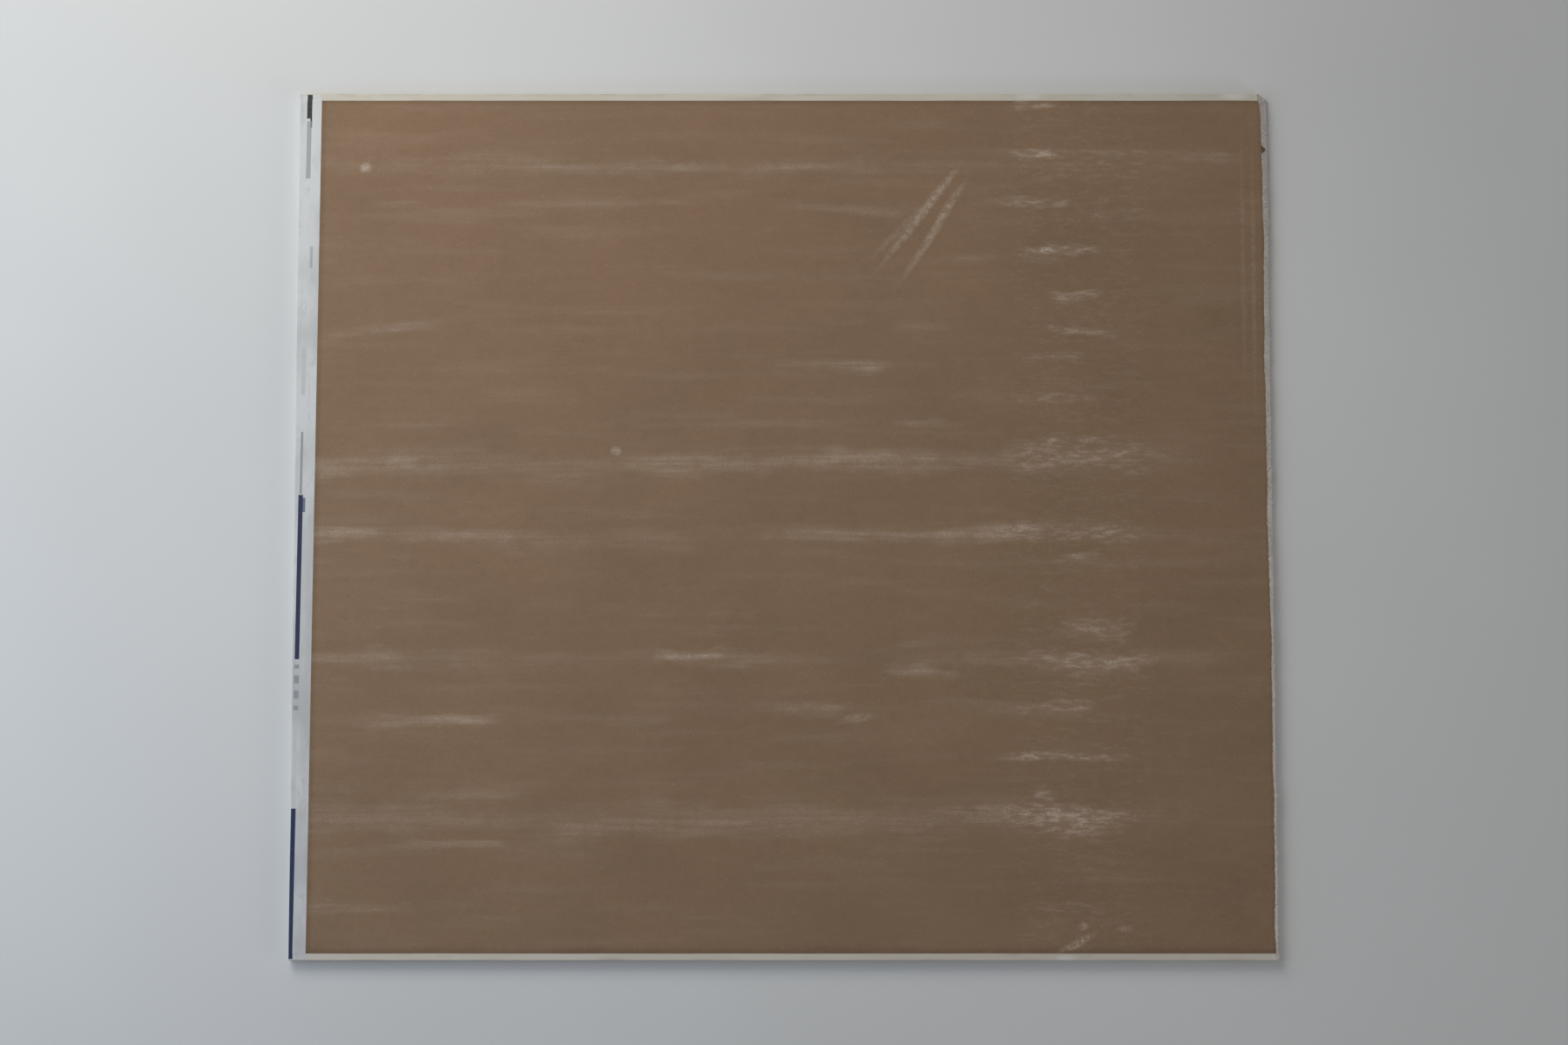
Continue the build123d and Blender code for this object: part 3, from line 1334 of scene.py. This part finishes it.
    def dust_share(self, shader: Shader) -> Value:
        """How much dust covers each place.

        Args:
            shader: Shader of the paper.

        Returns:
            Share of the dust's colour, from 0 to about a half.
        """
        drift = (shader.clouds((9, 4, 1), 4) - 0.5) * (2 * self.wander)
        x_share = shader.x / Streak.SPAN + 0.5
        y = shader.y + drift
        narrowed = shader.clouds((8, 18, 8), 2).fade(0.3, 0.7, 1.1) + 0.6
        streaks = sum(streak.mask(shader, x_share, y, narrowed) for streak in self.streaks)
        wisps = shader.clouds((6, 150, 6), 3, 0.6).fade(0.34, 0.68, 0.9) + 0.5
        patches = shader.clouds((30, 50, 30), 3, 0.6).fade(0.34, 0.62, 0.7) + 0.55
        dashes = shader.clouds((50, 170, 50), 3, 0.6).fade(0.40, 0.66, 1.3) + 0.4
        column = shader.x.band(self.dusty_x, self.dusty_half, self.dusty_half / 2)
        haze = shader.clouds((4, 45, 4), 4, 0.6).fade(0.46, 0.78, 0.075)
        caught = shader.clouds((260, 420, 250), 3, 0.6).fade(0.36, 0.64)
        texture = wisps * patches * (1 - column) + dashes * column
        specks = (column * dashes).fade(1.0, 1.8, 0.06)
        scrapes = self.scraped(shader, drift)
        scrapes = scrapes * (shader.clouds((130, 130, 130), 3, 0.6).fade(0.34, 0.60, 0.9) + 0.3)
        dust = (streaks * texture + specks + haze) * (caught * 0.6 + 0.7)
        return dust + scrapes * (caught * 0.7 + 0.65)

    def scraped(self, shader: Shader, drift: Value) -> Value:
        """How strong the scrapes are at each place, where they wander as the streaks do.

        Args:
            shader: Shader of the paper.
            drift: How far the marks lie off their own Y.

        Returns:
            The strength, 0 outside.
        """
        still = shader.place
        inputs = {0: still, 1: shader.node("ShaderNodeCombineXYZ", {1: drift}).outputs[0]}
        shader.place = shader.node("ShaderNodeVectorMath", inputs, operation="ADD").outputs[0]
        strength = sum(rub.mask(shader) for rub in self.scrapes)
        shader.place = still
        return strength

    def material(self, board: Board, tape: EndTape) -> bpy.types.Material:
        """Make the material.

        Args:
            board: The board, for the places of its edges and its break.
            tape: The end tape, beside which the paper is dark.

        Returns:
            The material.
        """
        shader = Shader("brown_paper")
        clouds = shader.clouds((6, 9, 6), 3)
        pulp = shader.clouds((55, 80, 55), 4, 0.6)
        grain = shader.clouds((480, 900, 480), 2)
        colour = shader.mix(shader.clouds((4, 5, 5), 2).fade(0.35, 0.65), self.reddish, self.olive)
        colour = shader.mix(shader.hairs((170, 260, 170), 0.012) * 0.55, colour, self.dark_hair)
        colour = shader.mix(shader.hairs((150, 230, 190), 0.010) * 0.45, colour, self.light_hair)
        colour = shader.mix(self.dust_share(shader), colour, self.dust)
        edge = abs(shader.y).fade(*(board.back_half - inset for inset in self.edge_shade), full=0.13)
        foot = shader.y.fade(*(inset - board.back_half for inset in self.foot_shade), full=0.08)
        # Painted shade: the paper darkens in a narrow band along the torn edge at the break.
        to_break = board.snap_line(shader.y) - shader.x
        ink_wear_and_break_shade = to_break.fade(*self.break_shade_band, full=0.10)
        to_tape = shader.x - tape.lap_x(shader.y)
        shade = to_tape.fade(*self.tape_shade, full=0.16)
        tone = (clouds - 0.5) * 0.26 + (pulp - 0.5) * 0.20 + (grain - 0.5) * 0.26
        tone = tone + 1.0 - edge - foot - ink_wear_and_break_shade - shade
        cockle = shader.clouds((14, 22, 10), 2) * self.cockle_depth
        fibres = grain * self.grain_depth + pulp * self.pulp_depth
        rough = (clouds - 0.5) * 0.12 + self.roughness
        return shader.finish(shader.toned(colour, tone), rough, cockle + fibres, 0.25)


@dataclass(frozen=True)
class IvoryPaper:
    """Smooth ivory paper, greyed along its long edges by handling."""

    clean: Rgb = (0.66, 0.615, 0.54)
    warm: Rgb = (0.63, 0.575, 0.49)
    grime: Rgb = (0.36, 0.32, 0.27)
    chalk: Rgb = (0.78, 0.77, 0.74)
    roughness: float = 0.6
    handled_width: float = 5 * MM
    dusty_length: float = 16 * MM
    fibre_depth: float = 0.03 * MM
    dent_depth: float = 0.12 * MM
    chalked: tuple[Rub, ...] = (
        Rub((0.610, 0.606), (0.665, 0.606), 8 * MM, 0.7),
        Rub((0.320, 0.606), (0.376, 0.606), 8 * MM, 0.5),
        Rub((0.370, -0.606), (0.410, -0.606), 7 * MM, 0.6),
    )

    def material(self, board: Board) -> bpy.types.Material:
        """Make the material.

        Args:
            board: The board, for the places of its long edges.

        Returns:
            The material.
        """
        shader = Shader("ivory_paper")
        clouds = shader.clouds((6, 9, 30), 3)
        fibres = shader.clouds((700, 500, 700), 2)
        near_edge = abs(shader.y).fade(board.half_width - self.handled_width, board.half_width)
        smudges = shader.clouds((22, 60, 150), 4, 0.6).fade(0.47, 0.68)
        chalked = sum(rub.mask(shader) for rub in self.chalked)
        to_break = board.snap_line(shader.y) - shader.x
        dusty = to_break.fade(self.dusty_length, 0.0, 0.35)
        dusty = dusty * shader.clouds((60, 90, 60), 2).fade(0.4, 0.65)
        scuffs = shader.clouds((11, 70, 11), 4, 0.6).fade(0.56, 0.74, 0.2)
        colour = shader.mix(clouds.fade(0.35, 0.65), self.clean, self.warm)
        colour = shader.mix(near_edge * smudges * 0.36 + scuffs, colour, self.grime)
        colour = shader.mix((chalked + dusty) * (fibres + 0.4), colour, self.chalk)
        tone = (fibres - 0.5) * 0.10 + 1.0
        relief = fibres * self.fibre_depth + shader.clouds((30, 30, 30), 2) * self.dent_depth
        rough = (clouds - 0.5) * 0.2 + self.roughness
        return shader.finish(shader.toned(colour, tone), rough, relief, 0.35)


@dataclass(frozen=True)
class Gypsum:
    """Broken gypsum: pale, crumbly and full of pores, smooth where the knife cut it."""

    pale: Rgb = (0.86, 0.81, 0.75)
    deep: Rgb = (0.76, 0.70, 0.63)
    # Painted shade inside the pores, which the holes darken the colour towards.
    pore_shade: Rgb = (0.55, 0.49, 0.42)
    stain: Rgb = (0.42, 0.31, 0.23)
    roughness: float = 0.95
    cut_soft: float = 0.4 * MM
    stain_band: Pair = (1.6 * MM, 0.4 * MM)
    relief_depth: float = 0.5 * MM

    def material(self, board: Board) -> bpy.types.Material:
        """Make the material.

        Args:
            board: The board, for the heights of the knife's cut and of the back.

        Returns:
            The material.
        """
        shader = Shader("gypsum")
        clouds = shader.clouds((45, 45, 90), 4, 0.6)
        grains = shader.clouds((900, 900, 900), 2)
        broken = shader.z.fade(board.score_top - self.cut_soft, board.score_top + self.cut_soft)
        sizes = shader.clouds((240, 240, 240), 3, 0.6).fade(0.48, 0.72) * broken
        holes = shader.cells((560, 620, 520)).fade(0.40, 0.12) * sizes
        fine_holes = shader.cells((1250, 1250, 1250)).fade(0.34, 0.12) * broken
        stained = shader.z.fade(*(board.top - depth for depth in self.stain_band), full=0.35)
        colour = shader.mix(clouds.fade(0.34, 0.66), self.deep, self.pale)
        # Painted shade in the pores: large and fine holes darken the colour.
        colour = shader.mix((holes * 0.5).most(fine_holes * 0.18), colour, self.pore_shade)
        colour = shader.mix(stained * shader.clouds((150, 150, 150)).fade(0.3, 0.6), colour, self.stain)
        tone = (grains - 0.5) * 0.16 + 1.0
        relief = (clouds + grains * 0.25 - holes * 0.7 - fine_holes * 0.25) * self.relief_depth
        return shader.finish(shader.toned(colour, tone), self.roughness, relief, 0.2)


class Ink(Enum):
    """Inks of the plain bars on the end tape, as colours."""

    BLACK = (0.018, 0.018, 0.020)
    NAVY = (0.022, 0.031, 0.088)
    GREY = (0.31, 0.34, 0.37)
    PALE_GREY = (0.48, 0.51, 0.50)


@dataclass(frozen=True)
class Bar:
    """Plain printed bar that runs along the tape, in dashes where it has a pitch."""

    SOFT = 0.4 * MM
    DASH_SOFT = 0.06

    y_from: float
    y_to: float
    ink: Ink
    cover: float = 1.0
    half_width: float = 2.8 * MM
    shift: float = 0.0
    pitch: float = 0.0
    filled: float = 0.5

    def mask(self, shader: Shader, from_line: Value) -> Value:
        """Where the bar is printed.

        Args:
            shader: Shader of the tape.
            from_line: Distance from the line that the bars run along.

        Returns:
            Share of the bar's ink at each place.
        """
        middle, half = (self.y_from + self.y_to) / 2, (self.y_to - self.y_from) / 2
        across = from_line.band(self.shift, self.half_width + self.SOFT, self.SOFT, self.cover)
        mask = across * shader.y.band(middle, half + self.SOFT, self.SOFT)
        if self.pitch:
            dash = (shader.y / self.pitch).fraction()
            mask = mask * dash.band(0.5, self.filled / 2, self.DASH_SOFT)
        return mask


@dataclass(frozen=True)
class WhiteTape:
    """Smooth white paper tape with a broken row of plain bars."""

    clean: Rgb = (0.68, 0.69, 0.70)
    soiled: Rgb = (0.53, 0.53, 0.54)
    grime: Rgb = (0.34, 0.335, 0.33)
    roughness: float = 0.5
    line_middle: float = 8 * MM
    line_skew: float = 6 * MM
    fibre_depth: float = 0.02 * MM
    wave_depth: float = 0.10 * MM
    bars: tuple[Bar, ...] = (
        Bar(0.574, 0.608, Ink.BLACK, half_width=3.4 * MM),
        Bar(0.561, 0.575, Ink.BLACK, half_width=1.1 * MM, shift=2.5 * MM),
        Bar(0.488, 0.570, Ink.GREY, cover=0.8, half_width=3 * MM),
        Bar(0.360, 0.390, Ink.GREY, cover=0.6, half_width=1.8 * MM, shift=7 * MM),
        Bar(0.180, 0.247, Ink.PALE_GREY, cover=0.5),
        Bar(0.040, 0.127, Ink.GREY, half_width=1.4 * MM),
        Bar(0.014, 0.034, Ink.NAVY, cover=0.75, half_width=2.4 * MM, shift=4 * MM),
        Bar(-0.192, 0.038, Ink.NAVY, half_width=3 * MM),
        Bar(-0.263, -0.200, Ink.GREY, half_width=3.2 * MM, pitch=21 * MM, filled=0.6),
        Bar(-0.398, -0.266, Ink.PALE_GREY, cover=0.3, half_width=2.4 * MM),
        Bar(-0.607, -0.400, Ink.NAVY, half_width=3 * MM),
    )

    def material(self, board: Board, tape: EndTape) -> bpy.types.Material:
        """Make the material.

        Args:
            board: The board, for its factory end.
            tape: The tape, for the height of its fold.

        Returns:
            The material.
        """
        shader = Shader("white_tape")
        skew = self.line_skew / board.half_width
        unfolded = shader.x + shader.z - (board.factory_end + tape.top)
        from_line = unfolded - self.line_middle - shader.y * skew
        clouds = shader.clouds((20, 9, 40), 3)
        fibres = shader.clouds((800, 800, 800), 2)
        blots = shader.clouds((110, 42, 110), 5, 0.7)
        colour = shader.mix(clouds.fade(0.38, 0.68), self.clean, self.soiled)
        scuffs = shader.clouds((190, 14, 190), 3, 0.6)
        colour = shader.mix(blots.fade(0.50, 0.72, 0.6), colour, self.soiled)
        dirt = blots.fade(0.62, 0.80, 0.35) + scuffs.fade(0.58, 0.76, 0.3)
        colour = shader.mix(dirt, colour, self.grime)
        for bar in self.bars:
            ink_wear_and_break_shade = bar.mask(shader, from_line) * fibres.fade(0.14, 0.34)
            colour = shader.mix(ink_wear_and_break_shade, colour, bar.ink.value)
        relief = fibres * self.fibre_depth + clouds * self.wave_depth
        return shader.finish(colour, (clouds - 0.5) * 0.2 + self.roughness, relief, 0.4)


@dataclass(frozen=True)
class StudioPaint:
    """Plain pale floor and its sweep."""

    base: Rgb = (0.74, 0.745, 0.755)
    shaded: Rgb = (0.71, 0.715, 0.725)

    def material(self) -> bpy.types.Material:
        """Make the material."""
        shader = Shader("studio_paint")
        clouds = shader.clouds((1.2, 1.2, 1.2), 3)
        colour = shader.mix(clouds.fade(0.35, 0.65), self.base, self.shaded)
        return shader.finish(colour, 0.9, None, 0.2)


@dataclass(frozen=True)
class Softbox:
    """Square soft light. Its spread is the angle of its beam, in degrees."""

    name: str
    place: Point
    size: float
    watts: float
    tint: Rgb
    spread: float = 180.0

    def hang(self, target: Vector) -> None:
        """Hang the light at its place.

        Args:
            target: The point that it faces.
        """
        lamp = bpy.data.lights.new(self.name, "AREA")
        lamp.shape = "SQUARE"
        lamp.size = self.size
        lamp.energy = self.watts
        lamp.color = self.tint
        lamp.spread = math.radians(self.spread)
        made = place_object(self.name, lamp)
        made.location = self.place
        made.rotation_euler = (target - made.location).to_track_quat("-Z", "Y").to_euler()


@dataclass
class Studio:
    """Floor, soft light and the camera over the sheet."""

    centre: Vector
    floor_drop: float = 0.15 * MM
    floor_radius: float = 8.0
    ring_shares: tuple[float, ...] = (0.2, 0.6)
    sides: int = 96
    sweep_radius: float = 2.5
    sweep_steps: int = 16
    wall_top: float = 5.0
    elevation: float = 85.0
    distance: float = 4.4
    lens: float = 72.0
    sensor: float = 36.0
    lights: tuple[Softbox, ...] = (
        Softbox("key_light", (-1.24, 1.78, 1.8), 1.6, 36.0, (1.0, 0.965, 0.86)),
        Softbox("fill_light", (-1.97, -0.12, 1.4), 2.2, 20.0, (0.70, 0.83, 1.0)),
        Softbox("side_light", (3.9, -2.24, 1.5), 1.2, 2.8, (1.0, 0.97, 0.93), spread=50.0),
    )
    sky: Rgb = (0.98, 0.99, 1.0)
    sky_strength: float = 0.18

    def outline(self) -> list[Pair]:
        """Section of the floor and of the wall that it sweeps up into.

        Returns:
            Radius and height of each ring, from the inmost to the top of the wall.
        """
        radius, sweep = self.floor_radius, self.sweep_radius
        flat = [(radius * share, 0.0) for share in self.ring_shares]
        curve = [
            (radius + sweep * math.sin(turn), sweep * (1 - math.cos(turn)))
            for turn in quarter_turn(self.sweep_steps)
        ]
        return [*flat, *curve, (radius + sweep, self.wall_top)]

    def floor(self, finish: bpy.types.Material) -> None:
        """Build the floor, which sweeps up into a round wall.

        Args:
            finish: Its material.
        """
        sides = self.sides
        turns = [math.tau * k / sides for k in range(sides)]
        points = [
            (radius * math.cos(turn), radius * math.sin(turn), z - self.floor_drop)
            for radius, z in self.outline()
            for turn in turns
        ]
        faces = [
            (ring + k, ring + (k + 1) % sides, ring + sides + (k + 1) % sides, ring + sides + k)
            for ring in range(0, len(points) - sides, sides)
            for k in range(sides)
        ]
        faces.append(tuple(reversed(range(sides))))
        mesh = bpy.data.meshes.new("studio_floor")
        mesh.from_pydata(points, [], faces)
        mesh.polygons.foreach_set("use_smooth", [True] * len(mesh.polygons))
        mesh.materials.append(finish)
        place_object("studio_floor", mesh)

    def world(self) -> None:
        """Light the scene softly from all round."""
        world = bpy.data.worlds.new("studio_sky")
        world.use_nodes = True
        background = world.node_tree.nodes["Background"]
        background.inputs["Color"].default_value = (*self.sky, 1.0)
        background.inputs["Strength"].default_value = self.sky_strength
        bpy.context.scene.world = world

    def camera(self) -> None:
        """Set the camera nearly straight over the sheet, looking along +Y."""
        lens = bpy.data.cameras.new("camera")
        lens.lens, lens.sensor_width = self.lens, self.sensor
        made = place_object("camera", lens)
        rise = math.radians(self.elevation)
        back = Vector((0.0, -math.cos(rise), math.sin(rise)))
        made.location = self.centre + back * self.distance
        made.rotation_euler = (-back).to_track_quat("-Z", "Y").to_euler()
        bpy.context.scene.camera = made

    def build(self, finish: bpy.types.Material) -> None:
        """Set up the whole studio.

        Args:
            finish: Material of its floor.
        """
        self.floor(finish)
        for light in self.lights:
            light.hang(self.centre)
        self.world()
        self.camera()
        bpy.context.scene.view_settings.view_transform = "Standard"
        log.info("studio: floor, %d lights, sky and camera", len(self.lights))


def main() -> None:
    """Build the pieces of the sheet in order, then the studio."""
    logging.basicConfig(level=logging.INFO, format="%(name)s: %(message)s")
    noise.seed_set(NOISE_SEED)
    board = Board.from_frame()
    tape = EndTape.from_frame(board)
    GypsumCore(board).build(Gypsum().material(board))
    FacePaper(board).build(IvoryPaper().material(board))
    BackPaper(board).build(BrownPaper().material(board, tape))
    tape.build(WhiteTape().material(board, tape))
    low, high = cad_box
    Studio(centre=(low + high) / 2).build(StudioPaint().material())


if __name__ == "__main__":
    main()
